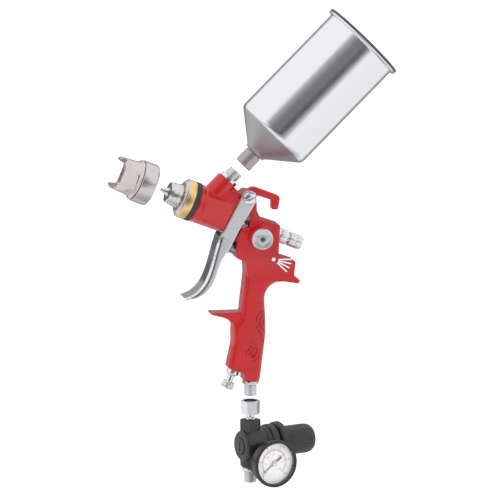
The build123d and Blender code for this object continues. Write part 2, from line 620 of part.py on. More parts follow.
def regulator_bonnet():
    stations = [(18.5, 18.6), (19.4, 20.0), (25.8, 20.0), (27.4, 18.4), (28.4, 18.0)]
    bonnet = turned(KNOB, stations + [(28.5, 12.4), (46.0, 12.4)])
    bonnet -= rod(KNOB, 18, 34, 10.6)
    bonnet -= rod(KNOB, 18, 50, 3.05)
    add("regulator_bonnet", bonnet)
    ring = turned(KNOB, [(29.0, 19.6), (30.4, 21.5), (35.2, 21.5), (36.4, 20.4)], 12.5)
    ring = fluted(ring, KNOB, 28, 37, 22.1, 32, 0.9)
    add("bonnet_lock_ring", ring)
    knob = turned(KNOB, [(38.2, 14.6), (38.8, 15.6), (66.0, 15.6), (70.0, 14.8), (72.8, 12.6), (73.6, 10.2)])
    knob = fluted(knob, KNOB, 41, 75, 16.0, 26, 0.75)
    knob -= rod(KNOB, 38, 46.6, 12.7)
    knob -= rod(KNOB, 38, 60, 3.0)
    add("regulator_knob", knob)
    screw = rod(KNOB, 33.6, 59.8, 2.95)
    screw += rod(KNOB, 30.6, 33.7, 1.6)
    add("adjusting_screw", screw)
    button = turned(KNOB, [(28.0, 6.4), (30.4, 6.4), (30.5, 3.4), (32.6, 3.4)])
    button -= rod(KNOB, 30.4, 33, 1.7)
    add("spring_button", button)
    add("regulator_spring", coil(KNOB, 18.6, 27.8, 6.0, 0.8, 3))


def regulator_ports():
    inlet = rod(UPRIGHT, 0, 12.5, G_QUARTER_R)
    inlet += hexagon(UPRIGHT, 12.4, 15.6, 15.4) + rod(UPRIGHT, 15.5, 26.4, 4.9)
    inlet -= rod(UPRIGHT, -1, 27, 3.3)
    add("regulator_inlet_nipple", inlet)
    stations = [(57.0, 4.5), (68.05, 4.5), (68.1, 5.9), (69.2, 5.9), (71.0, 4.5), (73.6, 4.5), (75.9, 5.0)]
    stations += [(76.0, 6.9), (78.2, 6.9), (78.3, 4.9), (80.2, 3.3)]
    nipple = turned(UPRIGHT, stations)
    nipple -= rod(UPRIGHT, 56, 81, 2.4)
    add("swivel_nipple", nipple)
    nut = hexagon(UPRIGHT, 73.9, 88.0, 17.8, 1.1)
    nut -= rod(UPRIGHT, 77.9, 89, G_QUARTER_R + 0.25)
    nut -= rod(UPRIGHT, 75.6, 78.6, 7.3)
    nut -= rod(UPRIGHT, 73, 76, 5.3)
    add("swivel_nut", nut)


# ---- gauge --------------------------------------------------------------------------------------
def gauge():
    case = turned(GAUGE, [(5.6, 4.2), (13.05, 4.2), (13.1, 6.2), (17.4, 6.2), (17.5, 15.0), (19.4, 21.6)])
    case += turned(GAUGE, [(19.4, 21.6), (22.0, 23.2), (32.6, 23.2)])
    case -= rod(GAUGE, 19.6, 33, 22.3)
    case -= rod(GAUGE, 5, 20, 1.2)
    add("gauge_case", case)
    bezel = turned(GAUGE, [(29.6, 24.6), (30.4, 25.3), (33.6, 25.3), (34.4, 24.8), (34.4, 22.2)], 21.9)
    bezel -= rod(GAUGE, 28, 33.2, 23.25)
    add("gauge_bezel", bezel)
    add("gauge_dial", tube(GAUGE, 28.4, 29.0, 22.2, 1.3))
    add("gauge_window", rod(GAUGE, 31.6, 33.15, 22.2))


def gauge_works():
    path = CenterArc((0, 0), 13.0, -60, 250)
    section = Plane(origin=path @ 0, z_dir=path % 0) * Rectangle(1.4, 3.2)
    bourdon = GAUGE * (Pos(0, 0, 24.0) * sweep(section, path))
    add("bourdon_tube", bourdon)
    shaft = rod(GAUGE, 23.4, 30.6, 0.9)
    hub = rod(GAUGE, 29.5, 30.4, 3.4)
    arm = Polyline((-7.5, -0.9), (-7.5, 0.9), (17.0, 0.25), (17.0, -0.25), close=True)
    needle = extrude(Pos(0, 0, 29.6) * Rot(0, 0, 215.0) * make_face(arm), 0.6)
    add("gauge_pointer", shaft + hub + GAUGE * needle)


def build():
    gun_body()
    fluid_head()
    needle_group()
    air_valve()
    trigger()
    pivot_set()
    fan_control()
    air_inlet()
    air_adjuster()
    air_cap()
    air_cap_ring()
    paint_cup()
    cup_lid()
    regulator_body()
    regulator_valve()
    regulator_bonnet()
    regulator_ports()
    gauge()
    gauge_works()


build()
os.makedirs("parts", exist_ok=True)
for name, solid in PARTS.items():
    export_step(solid, f"parts/{name}.step")
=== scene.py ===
import bpy
import bmesh
from math import atan, cos, pi, radians, sin, tan
from mathutils import Matrix, Vector
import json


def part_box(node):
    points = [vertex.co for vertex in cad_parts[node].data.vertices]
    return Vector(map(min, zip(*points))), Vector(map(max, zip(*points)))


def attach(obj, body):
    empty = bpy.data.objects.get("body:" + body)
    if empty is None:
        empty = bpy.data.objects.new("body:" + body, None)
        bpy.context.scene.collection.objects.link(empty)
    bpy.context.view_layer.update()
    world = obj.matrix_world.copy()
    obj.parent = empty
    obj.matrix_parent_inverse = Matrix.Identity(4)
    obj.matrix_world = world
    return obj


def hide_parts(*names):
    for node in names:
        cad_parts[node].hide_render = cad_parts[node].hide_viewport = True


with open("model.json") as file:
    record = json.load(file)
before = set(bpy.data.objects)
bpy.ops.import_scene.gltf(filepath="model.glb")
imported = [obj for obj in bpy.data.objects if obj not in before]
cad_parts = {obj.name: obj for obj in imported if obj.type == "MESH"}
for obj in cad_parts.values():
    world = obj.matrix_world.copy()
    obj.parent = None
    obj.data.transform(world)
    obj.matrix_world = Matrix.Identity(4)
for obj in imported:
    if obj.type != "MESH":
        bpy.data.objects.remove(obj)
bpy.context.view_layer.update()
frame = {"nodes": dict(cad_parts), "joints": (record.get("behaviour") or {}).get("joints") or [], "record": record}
NODES = frame["nodes"]
JOINTS = {joint["name"]: joint for joint in frame["joints"]}
BODY_OF = {node: body for body, nodes in frame["record"]["behaviour"]["bodies"].items() for node in nodes}
SLOT_OF = {row["node"]: row["material_slot"] for row in frame["record"]["subparts"]}
MM = 0.001

# ---- axes, read from the joints ------------------------------------------------------------------
def axis_frame(joint, up=Vector((0, 1, 0)), flip=1):
    """Matrix whose Z is the joint's axis and whose origin is the joint's point."""
    z = Vector(JOINTS[joint]["axis"]).normalized() * flip
    x = up.cross(z).normalized()
    y = z.cross(x)
    origin = Vector(JOINTS[joint].get("pos_m", (0, 0, 0)))
    turned = Matrix((x, y, z)).transposed().to_4x4()
    return Matrix.Translation(origin) @ turned


SPRAY = axis_frame("fluid_knob_turn")
GAUGE = axis_frame("gauge_pointer_turn", up=Vector((0, 0, 1)), flip=-1)
UPRIGHT = Matrix.Identity(4)


def along(matrix, node):
    """Lowest and highest place of a CAD node along a frame's Z, from the frame's origin."""
    back = matrix.inverted()
    heights = [(back @ v.co).z for v in NODES[node].data.vertices]
    return min(heights), max(heights)


def widest(matrix, node):
    back = matrix.inverted()
    return max((back @ v.co).xy.length for v in NODES[node].data.vertices)


def cup_frame():
    """The cup's axis, through the middle of its rim, with its origin at the foot of the wall."""
    axis = Vector(JOINTS["lid_off"]["axis"]).normalized()
    low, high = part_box("cup_gasket")
    centre = (low + high) / 2
    x = Vector((0, 1, 0)).cross(axis).normalized()
    turned = Matrix((x, axis.cross(x), axis)).transposed().to_4x4()
    return Matrix.Translation(centre) @ turned


CUP = cup_frame()

# ---- camera --------------------------------------------------------------------------------------
CAMERA_AZIMUTH, CAMERA_ELEVATION = radians(-13), radians(11)
CAMERA_DISTANCE = 5.6
FRAME_WIDTH = 0.525
AIM = Vector((-0.0004, 0.0, 0.2496))
SENSOR = 36.0
BACK = Vector(
    (
        sin(CAMERA_AZIMUTH) * cos(CAMERA_ELEVATION),
        -cos(CAMERA_AZIMUTH) * cos(CAMERA_ELEVATION),
        sin(CAMERA_ELEVATION),
    )
)
FLOOR_Z = -0.45


def make_camera():
    data = bpy.data.cameras.new("camera")
    data.sensor_width = SENSOR
    data.lens = SENSOR * CAMERA_DISTANCE / FRAME_WIDTH
    data.clip_end = 100
    camera = bpy.data.objects.new("camera", data)
    bpy.context.scene.collection.objects.link(camera)
    camera.location = AIM + BACK * CAMERA_DISTANCE
    camera.rotation_mode = "QUATERNION"
    camera.rotation_quaternion = (-BACK).to_track_quat("-Z", "Y")
    bpy.context.scene.camera = camera


# ---- node helpers --------------------------------------------------------------------------------
class Shader:
    """A small wrapper that adds nodes to one material."""

    def __init__(self, name, tree=None):
        self.material = bpy.data.materials.new(name)
        self.material.use_nodes = True
        self.nodes = self.material.node_tree.nodes
        self.links = self.material.node_tree.links
        self.base = self.nodes["Principled BSDF"]
        self.coords = self.nodes.new("ShaderNodeTexCoord")

    def set(self, **values):
        for key, value in values.items():
            self.base.inputs[key.replace("_", " ")].default_value = value
        return self

    def mapped(self, scale, rotation=(0, 0, 0), space="Object"):
        mapping = self.nodes.new("ShaderNodeMapping")
        mapping.inputs["Scale"].default_value = scale
        mapping.inputs["Rotation"].default_value = rotation
        self.links.new(self.coords.outputs[space], mapping.inputs["Vector"])
        return mapping.outputs["Vector"]

    def noise(self, scale, detail=4.0, vector=None, rough=0.55):
        node = self.nodes.new("ShaderNodeTexNoise")
        node.inputs["Scale"].default_value = scale
        node.inputs["Detail"].default_value = detail
        node.inputs["Roughness"].default_value = rough
        self.links.new(vector or self.coords.outputs["Object"], node.inputs["Vector"])
        return node.outputs["Fac"]

    def ramp(self, value, stops):
        node = self.nodes.new("ShaderNodeValToRGB")
        ramp = node.color_ramp
        while len(ramp.elements) < len(stops):
            ramp.elements.new(0.5)
        for element, (place, colour) in zip(ramp.elements, stops):
            element.position = place
            element.color = (*colour, 1) if len(colour) == 3 else colour
        self.links.new(value, node.inputs["Fac"])
        return node.outputs["Color"]

    def range(self, value, low, high, source=(0.3, 0.7)):
        node = self.nodes.new("ShaderNodeMapRange")
        node.inputs["From Min"].default_value = source[0]
        node.inputs["From Max"].default_value = source[1]
        node.inputs["To Min"].default_value = low
        node.inputs["To Max"].default_value = high
        self.links.new(value, node.inputs["Value"])
        return node.outputs["Result"]

    def colour(self, value):
        self.links.new(value, self.base.inputs["Base Color"])
        return self

    def roughness(self, value):
        self.links.new(value, self.base.inputs["Roughness"])
        return self

    def bump(self, value, strength, distance=0.0001, before=None):
        node = self.nodes.new("ShaderNodeBump")
        node.inputs["Strength"].default_value = strength
        node.inputs["Distance"].default_value = distance
        self.links.new(value, node.inputs["Height"])
        if before:
            self.links.new(before, node.inputs["Normal"])
        self.links.new(node.outputs["Normal"], self.base.inputs["Normal"])
        return node.outputs["Normal"]

    def shade_corners_wear_edges(self, dark, plain, bright):
        """Colour that is darker in corners as painted shade, and brighter on worn edges."""
        geometry = self.nodes.new("ShaderNodeNewGeometry")
        return self.ramp(geometry.outputs["Pointiness"], [(0.40, dark), (0.49, plain), (0.60, bright)])


def shades(colour, low=0.85, high=1.12):
    return tuple(c * low for c in colour), tuple(min(1.0, c * high) for c in colour)


# ---- materials -----------------------------------------------------------------------------------
def red_paint():
    s = Shader("red_paint")
    s.set(Coat_Weight=0.75, Coat_Roughness=0.05, Specular_IOR_Level=0.25)
    grain = s.noise(60, 3)
    s.colour(s.ramp(grain, [(0.25, (0.43, 0.004, 0.007)), (0.75, (0.50, 0.008, 0.011))]))
    s.roughness(s.range(s.noise(25, 5), 0.22, 0.32))
    s.bump(s.noise(900, 2), 0.06, 0.0001)
    return s.material


def painted_groove_shade():
    """The same paint, darker: painted shade in the grip's grooves."""
    s = Shader("painted_groove_shade")
    s.set(Coat_Weight=0.6, Coat_Roughness=0.1, Specular_IOR_Level=0.2)
    s.colour(s.ramp(s.noise(60, 3), [(0.25, (0.24, 0.004, 0.006)), (0.75, (0.30, 0.006, 0.008))]))
    s.roughness(s.range(s.noise(25, 5), 0.3, 0.4))
    return s.material


def metal(name, colour, rough, fine=700, stretch=(1, 1, 1), turn=(0, 0, 0), bump=0.05, spread=0.06):
    """Metal with a faint grain in its colour, roughness and surface."""
    s = Shader(name)
    s.set(Metallic=1.0)
    dark, bright = shades(colour, 0.93, 1.05)
    vector = s.mapped(stretch, turn)
    grain = s.noise(fine, 5, vector)
    s.colour(s.ramp(grain, [(0.3, dark), (0.7, bright)]))
    s.roughness(s.range(s.noise(fine * 0.3, 4, vector), rough - spread / 2, rough + spread / 2))
    s.bump(grain, bump, 0.0001)
    return s.material


def brushed_cup():
    """Sheet metal drawn and brushed along the cup's length; UV.x runs round it, UV.y along it."""
    s = Shader("cup_aluminium")
    s.set(Metallic=1.0)
    lines = s.noise(6, 6, s.mapped((220, 1.2, 1), space="UV"), 0.7)
    cloud = s.noise(4, 3, s.mapped((3, 2, 1), space="UV"))
    s.colour(s.ramp(lines, [(0.25, (0.74, 0.74, 0.77)), (0.75, (0.86, 0.86, 0.89))]))
    s.roughness(s.range(cloud, 0.13, 0.2))
    s.bump(lines, 0.06, 0.00005)
    return s.material


def plastic(name, colour, rough=0.42, grain=1500, bump=0.18):
    s = Shader(name)
    s.set(Specular_IOR_Level=0.5)
    dark, bright = shades(colour)
    s.colour(s.ramp(s.noise(90, 3), [(0.3, dark), (0.7, bright)]))
    s.roughness(s.range(s.noise(260, 4), rough - 0.06, rough + 0.08))
    s.bump(s.noise(grain, 2), bump, 0.0001)
    return s.material


def glass():
    s = Shader("window")
    s.set(Roughness=0.02, IOR=1.45, Base_Color=(1, 1, 1, 1), Alpha=0.05)
    s.bump(s.noise(40, 2), 0.01, 0.0001)
    return s.material


def printed(name, colour):
    """Ink with a slight mottle."""
    s = Shader(name)
    dark, bright = shades(colour, 0.9, 1.05)
    s.colour(s.ramp(s.noise(1200, 3), [(0.3, dark), (0.7, bright)]))
    s.set(Roughness=0.5)
    return s.material


def make_materials():
    made = {
        "red_paint": red_paint(),
        "chrome": metal("chrome", (0.76, 0.76, 0.80), 0.10, 900, bump=0.03),
        "nickel": metal("nickel", (0.66, 0.60, 0.60), 0.27, 1200, bump=0.05),
        "steel": metal("steel", (0.70, 0.69, 0.70), 0.2, 800, bump=0.06),
        "spring_steel": metal("spring_steel", (0.45, 0.45, 0.47), 0.3),
        "cup_aluminium": brushed_cup(),
        "brass": metal("brass", (0.92, 0.62, 0.27), 0.34, 1500, bump=0.03, spread=0.05),
        "pale_brass": metal("pale_brass", (0.66, 0.61, 0.56), 0.33, 1500, bump=0.03),
        "black_rubber": plastic("black_rubber", (0.030, 0.033, 0.040), 0.6, 900),
        "white_seal": plastic("white_seal", (0.8, 0.8, 0.78), 0.4),
        "black_casting": plastic("black_casting", (0.020, 0.020, 0.023), 0.34, 1100, 0.16),
        "black_plastic": plastic("black_plastic", (0.022, 0.022, 0.025), 0.36, 1600, 0.12),
        "gauge_black": plastic("gauge_black", (0.016, 0.016, 0.018), 0.28, 1300, 0.08),
        "dial_white": plastic("dial_white", (0.95, 0.95, 0.96), 0.5, 2000, 0.02),
        "window": glass(),
        "ink_grey": printed("ink_grey", (0.24, 0.24, 0.28)),
        "ink_red": printed("ink_red", (0.75, 0.25, 0.27)),
        "ink_white": printed("ink_white", (0.85, 0.82, 0.82)),
        "pointer_grey": printed("pointer_grey", (0.10, 0.10, 0.12)),
        "cup_cone": metal("cup_cone", (0.46, 0.46, 0.48), 0.46, 900, bump=0.04),
        "neck_satin": metal("neck_satin", (0.50, 0.44, 0.48), 0.48, 900, bump=0.05),
        "lid_plastic": plastic("lid_plastic", (0.075, 0.075, 0.08), 0.4),
        # darker red as painted shade in the grip's grooves
        "painted_groove_shade": painted_groove_shade(),
        "satin_steel": metal("satin_steel", (0.80, 0.81, 0.84), 0.30, 700, bump=0.04),
        "warm_nickel": metal("warm_nickel", (0.72, 0.56, 0.42), 0.28, 900, bump=0.05),
        "satin_face": metal("satin_face", (0.70, 0.73, 0.77), 0.3, 900, bump=0.05),
        "dark_steel": metal("dark_steel", (0.17, 0.15, 0.145), 0.35),
        "dark_chrome": metal("dark_chrome", (0.30, 0.31, 0.34), 0.14),
    }
    return made


MATERIALS = make_materials()


# ---- mesh helpers --------------------------------------------------------------------------------
def finished(name, bm, body, slot=None, material=None, sharp=32.0, replaces=()):
    """Turns a bmesh into a piece that rides on a body."""
    mesh = bpy.data.meshes.new(name)
    bmesh.ops.recalc_face_normals(bm, faces=bm.faces)
    bm.to_mesh(mesh)
    bm.free()
    obj = bpy.data.objects.new(name, mesh)
    bpy.context.scene.collection.objects.link(obj)
    return dressed(obj, body, slot, material, sharp, replaces)


def dressed(obj, body, slot=None, material=None, sharp=32.0, replaces=()):
    mesh = obj.data
    mesh.materials.clear()
    mesh.materials.append(MATERIALS[material or slot])
    mesh.shade_smooth()
    mesh.set_sharp_from_angle(angle=radians(sharp))
    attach(obj, body)
    if replaces:
        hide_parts(*replaces)
    return obj


def lathe(bm, matrix, stations, segments=144, closed=True):
    """Adds a surface of revolution through (height, radius) stations in mm, with UVs round and along it."""
    layer = bm.loops.layers.uv.verify()
    rings = []
    for height, radius in stations:
        ring = []
        for i in range(segments):
            a = 2 * pi * i / segments
            ring.append(bm.verts.new(matrix @ Vector((radius * cos(a), radius * sin(a), height)) * 1.0))
        rings.append(ring)
    count = len(rings)
    pairs = [(k, (k + 1) % count) for k in range(count if closed else count - 1)]
    travelled = 0.0
    for k, m in pairs:
        step = (Vector(stations[k]) - Vector(stations[m])).length
        for i in range(segments):
            j = (i + 1) % segments
            face = bm.faces.new((rings[k][i], rings[k][j], rings[m][j], rings[m][i]))
            corners = ((i, 0), (i + 1, 0), (i + 1, step), (i, step))
            for loop, (turn, up) in zip(face.loops, corners):
                loop[layer].uv = (turn / segments, (travelled + up) * 10)
        travelled += step
    return bm


def mm(stations, shift=0.0):
    return [((h + shift) * MM, r * MM) for h, r in stations]


def rounded(stations, radius, steps=4, closed=True):
    """Rounds every corner of a (height, radius) profile with a small arc."""
    points = [Vector(p) for p in stations]
    result = []
    count = len(points)
    for i, p in enumerate(points):
        before, after = points[i - 1], points[(i + 1) % count]
        a, b = before - p, after - p
        reach = min(radius, a.length * 0.45, b.length * 0.45)
        if not closed and i in (0, count - 1) or reach < 1e-9:
            result.append(tuple(p))
            continue
        start, end = p + a.normalized() * reach, p + b.normalized() * reach
        for k in range(steps + 1):
            t = k / steps
            result.append(tuple(start * (1 - t) ** 2 + p * 2 * t * (1 - t) + end * t * t))
    return result


def refined(node, width=0.25, material=None, sharp=32.0, segments=2, limit=30.0):
    """A copy of a CAD node with its hard edges broken, in place of the node."""
    bm = bmesh.new()
    bm.from_mesh(NODES[node].data)
    bmesh.ops.remove_doubles(bm, verts=bm.verts, dist=2e-6)
    bmesh.ops.dissolve_limit(bm, angle_limit=radians(0.5), verts=bm.verts, edges=bm.edges)
    obj = finished(node + "_finished", bm, BODY_OF[node], SLOT_OF[node], material, sharp, (node,))
    bevel = obj.modifiers.new("edges", "BEVEL")
    bevel.width = width * MM
    bevel.segments = segments
    bevel.limit_method = "ANGLE"
    bevel.angle_limit = radians(limit)
    bevel.use_clamp_overlap = True
    bevel.harden_normals = True
    return obj


def cast(node, voxel, smooth, repeat, material=None):
    """A copy of a CAD node with the soft corners of a casting, in place of the node."""
    mesh = NODES[node].data.copy()
    obj = bpy.data.objects.new(node + "_cast", mesh)
    bpy.context.scene.collection.objects.link(obj)
    remesh = obj.modifiers.new("voxels", "REMESH")
    remesh.mode = "VOXEL"
    remesh.voxel_size = voxel * MM
    soften = obj.modifiers.new("soft", "SMOOTH")
    soften.factor = smooth
    soften.iterations = repeat
    evaluated = obj.evaluated_get(bpy.context.evaluated_depsgraph_get())
    solid = bpy.data.meshes.new_from_object(evaluated)
    obj.modifiers.clear()
    obj.data = solid
    return dressed(obj, BODY_OF[node], SLOT_OF[node], material, 180.0, (node,))


def threaded(bm, matrix, low, high, radius, pitch, depth, bore, segments=72):
    """Adds a tube in mm whose outside is a helical thread, run out at both ends."""
    per_turn = 10
    rows = int((high - low) / pitch * per_turn)
    rings = []
    for k in range(rows + 1):
        height = low + (high - low) * k / rows
        end = min(height - low, high - height) / pitch
        ring = []
        for i in range(segments):
            turn = i / segments
            phase = (height / pitch - turn) % 1.0
            groove = 1 - abs(2 * phase - 1)
            crest = min(1.0, max(0.0, groove * 1.6 - 0.3))
            r = radius - depth * (1 - crest) - 0.25 * depth * max(0.0, 1 - end * 3)
            a = 2 * pi * turn
            ring.append(bm.verts.new(matrix @ (Vector((r * cos(a), r * sin(a), height)) * MM)))
        rings.append(ring)
    for height in (high, low):
        ring = []
        for i in range(segments):
            a = 2 * pi * i / segments
            ring.append(bm.verts.new(matrix @ (Vector((bore * cos(a), bore * sin(a), height)) * MM)))
        rings.append(ring)
    for k in range(len(rings)):
        a, b = rings[k], rings[(k + 1) % len(rings)]
        for i in range(segments):
            j = (i + 1) % segments
            bm.faces.new((a[i], a[j], b[j], b[i]))
    return bm


make_camera()


# ---- cup ------------------------------------------------------------------------------------------
def make_cup():
    low, high = (h / MM for h in along(CUP, "paint_cup"))
    tall, wide = high - low, widest(CUP, "paint_cup") / MM
    wall, lip = 1.2, 3.9
    r = wide - lip
    outer = [(0, 12.0), (1.0, 12.2), (3.6, 15.2), (22.0, 38.2), (25.2, 42.0), (29.0, r), (tall - 6, r)]
    rim = [(tall - 2.4, r), (tall - 2.4, wide - 0.6), (tall - 1.2, wide), (tall, wide - 0.6), (tall, r - wall)]
    inner = [(tall - 6, r - wall), (29.0, r - wall), (25.2, 40.6), (22.0, 36.9), (3.6, 13.9), (1.2, 10.8)]
    profile = rounded(outer + rim + inner + [(1.2, 8.6), (0, 8.6)], 1.5)
    bm = lathe(bmesh.new(), CUP, mm(profile, low), 192)
    cup = finished("cup_shell", bm, "cup", "cup_aluminium", sharp=50, replaces=("paint_cup",))
    cup.data.materials.append(MATERIALS["cup_cone"])
    back = CUP.inverted()
    shoulder = (low + 25.0) * MM
    for face in cup.data.polygons:
        face.material_index = int((back @ face.center).z < shoulder)
    return cup


def make_lid():
    low = along(CUP, "cup_lid")[0] / MM
    outer = [(0, 41.0), (5.7, 41.6), (5.8, 46.5), (6.4, 47.2), (7.4, 47.2), (8.0, 46.5), (8.0, 36.2)]
    inner = [(6.5, 35.8), (6.5, 4.1), (4.6, 4.1), (4.6, 39.4), (0, 39.4)]
    bm = lathe(bmesh.new(), CUP, mm(rounded(outer + inner, 0.35), low), 192)
    finished("lid_shell", bm, "lid", "black_plastic", "lid_plastic", sharp=60, replaces=("cup_lid",))


def make_cup_neck():
    low = along(CUP, "cup_neck")[0] / MM
    outer = [(0, 8.9), (0.6, 9.4), (15.6, 9.4), (16.6, 8.9), (16.6, 8.4), (17.4, 8.4), (17.5, 11.4), (18.5, 12.0)]
    outer += [(18.6, 8.5), (24.0, 8.5)]
    inner = [(24.0, 5.4), (11.0, 5.4), (11.0, 8.1), (0, 8.1)]
    bm = lathe(bmesh.new(), CUP, mm(rounded(outer + inner, 0.25), low), 96)
    finished("neck_shell", bm, "cup", "nickel", "neck_satin", sharp=40, replaces=("cup_neck",))


# ---- threaded pieces -------------------------------------------------------------------------------
def hexed(bm, matrix, low, high, flats, bore):
    """Adds a hexagonal nut's outside, its corners turned off, and a plain bore, in mm."""
    corner = flats / 2 / cos(pi / 6)
    count = 72
    rings = []
    for height, limit in ((low, corner * 0.9), (low + 0.7, corner), (high - 0.7, corner), (high, corner * 0.9)):
        ring = []
        for i in range(count):
            a = 2 * pi * i / count
            off = (a % (pi / 3)) - pi / 6
            r = min(limit, flats / 2 / cos(off))
            ring.append(bm.verts.new(matrix @ (Vector((r * cos(a), r * sin(a), height)) * MM)))
        rings.append(ring)
    for height in (high, low):
        ring = []
        for i in range(count):
            a = 2 * pi * i / count
            ring.append(bm.verts.new(matrix @ (Vector((bore * cos(a), bore * sin(a), height)) * MM)))
        rings.append(ring)
    for k in range(len(rings)):
        a, b = rings[k], rings[(k + 1) % len(rings)]
        for i in range(count):
            j = (i + 1) % count
            bm.faces.new((a[i], a[j], b[j], b[i]))
    return bm


def make_paint_nipple():
    low, high = (h / MM for h in along(CUP, "paint_inlet_nipple"))
    wide = widest(CUP, "paint_inlet_nipple") / MM
    bm = threaded(bmesh.new(), CUP, high - 8.6, high, 7.9, 2.0, 1.1, 5.0)
    flange = high - 13.5
    profile = [(low, 7.0), (flange, 7.0), (flange, wide - 0.8), (flange + 0.4, wide)]
    profile += [(flange + 3.5, wide), (flange + 4.1, wide - 0.6), (flange + 4.1, 6.6), (high - 8.5, 6.6)]
    lathe(bm, CUP, mm(rounded(profile + [(high - 8.5, 5.0), (low, 5.0)], 0.2)), 96)
    finished("paint_nipple_thread", bm, "gun", "chrome", replaces=("paint_inlet_nipple",))


def make_air_nipple():
    low, high = (h / MM for h in along(UPRIGHT, "air_inlet_nipple"))
    bm = threaded(bmesh.new(), UPRIGHT, low, low + 11.9, 6.58, 1.337, 0.7, 3.9)
    lathe(bm, UPRIGHT, mm([(low + 11.8, 5.6), (low + 13.1, 5.6), (low + 13.1, 3.9), (low + 11.8, 3.9)]), 72)
    hexed(bm, UPRIGHT, low + 13.0, low + 16.0, 16.6, 3.9)
    lathe(bm, UPRIGHT, mm([(low + 16.0, 6.0), (high, 6.0), (high, 3.4), (low + 16.0, 3.4)]), 72)
    finished("air_nipple_thread", bm, "gun", "chrome", replaces=("air_inlet_nipple",))


def make_regulator_inlet():
    low, high = (h / MM for h in along(UPRIGHT, "regulator_inlet_nipple"))
    bm = threaded(bmesh.new(), UPRIGHT, low, low + 12.5, 6.58, 1.337, 0.55, 3.3)
    hexed(bm, UPRIGHT, low + 12.4, low + 15.6, 15.4, 3.3)
    lathe(bm, UPRIGHT, mm([(low + 15.5, 4.9), (high, 4.9), (high, 3.3), (low + 15.5, 3.3)]), 72)
    finished("inlet_thread", bm, "regulator", "steel", replaces=("regulator_inlet_nipple",))


# ---- gauge face -------------------------------------------------------------------------------------
DIAL_TOP = along(GAUGE, "gauge_dial")[1]
DIAL_START, DIAL_SWEEP = radians(225), radians(270)


def bar(bm, matrix, length, wide, thick):
    """Adds a flat bar along X from the matrix's origin."""
    corners = [(x, y, z) for z in (0, thick) for x, y in ((0, -wide / 2), (length, -wide / 2), (length, wide / 2), (0, wide / 2))]
    v = [bm.verts.new(matrix @ Vector(c)) for c in corners]
    for quad in ((3, 2, 1, 0), (4, 5, 6, 7), (0, 1, 5, 4), (1, 2, 6, 5), (2, 3, 7, 6), (3, 0, 4, 7)):
        bm.faces.new([v[i] for i in quad])


def dial_place(angle, radius):
    face = GAUGE @ Matrix.Translation((0, 0, DIAL_TOP))
    return face @ Matrix.Rotation(angle, 4, "Z") @ Matrix.Translation((radius * MM, 0, 0))


def dial_arc(bm, radius, wide, start, sweep, thick=0.03):
    steps = 90
    rows = []
    for k in range(steps + 1):
        a = start - sweep * k / steps
        row = []
        for r in (radius, radius + wide):
            for z in (0, thick):
                row.append(bm.verts.new(dial_place(a, r) @ Vector((0, 0, z * MM))))
        rows.append(row)
    for one, two in zip(rows, rows[1:]):
        for i, j in ((0, 1), (1, 3), (3, 2), (2, 0)):
            bm.faces.new((one[i], one[j], two[j], two[i]))
    for row in (rows[0], rows[-1]):
        bm.faces.new((row[0], row[1], row[3], row[2]))


def make_dial_marks():
    grey, red = bmesh.new(), bmesh.new()
    for k in range(51):
        angle = DIAL_START - DIAL_SWEEP * k / 50
        long = 2.0 if k % 10 == 0 else 1.5 if k % 5 == 0 else 1.0
        bar(grey, dial_place(angle, 14.4), long * MM, (0.6 if k % 5 == 0 else 0.25) * MM, 0.03 * MM)
        bar(red, dial_place(angle, 13.9 - long), long * MM, (0.5 if k % 5 == 0 else 0.25) * MM, 0.03 * MM)
    dial_arc(grey, 14.2, 0.3, DIAL_START, DIAL_SWEEP)
    dial_arc(red, 13.6, 0.35, DIAL_START, DIAL_SWEEP)
    finished("dial_scale", grey, "regulator", "dial_white", "ink_grey", 30)
    finished("dial_inner_scale", red, "regulator", "dial_white", "ink_red", 30)


def make_dial_numbers():
    sets = (("dial_numbers", "ink_grey", 18.4, 3.4, 5, 2), ("dial_inner_numbers", "ink_red", 9.9, 2.6, 6, 25))
    for name, material, radius, size, count, step in sets:
        bm = bmesh.new()
        for k in range(count + 1):
            curve = bpy.data.curves.new("number", "FONT")
            curve.body = str(k * step)
            curve.size = size * MM
            curve.extrude = 0.015 * MM
            curve.offset = 0.03 * MM
            curve.resolution_u = 3
            curve.align_x = "CENTER"
            curve.align_y = "CENTER"
            text = bpy.data.objects.new("number", curve)
            bpy.context.scene.collection.objects.link(text)
            mesh = bpy.data.meshes.new_from_object(text.evaluated_get(bpy.context.evaluated_depsgraph_get()))
            angle = DIAL_START - DIAL_SWEEP * k / count
            place = Vector((radius * cos(angle), radius * sin(angle), 0.015)) * MM
            mesh.transform(GAUGE @ Matrix.Translation(place + Vector((0, 0, DIAL_TOP))))
            bm.from_mesh(mesh)
            bpy.data.objects.remove(text)
            bpy.data.meshes.remove(mesh)
        finished(name, bm, "regulator", "dial_white", material, 30)


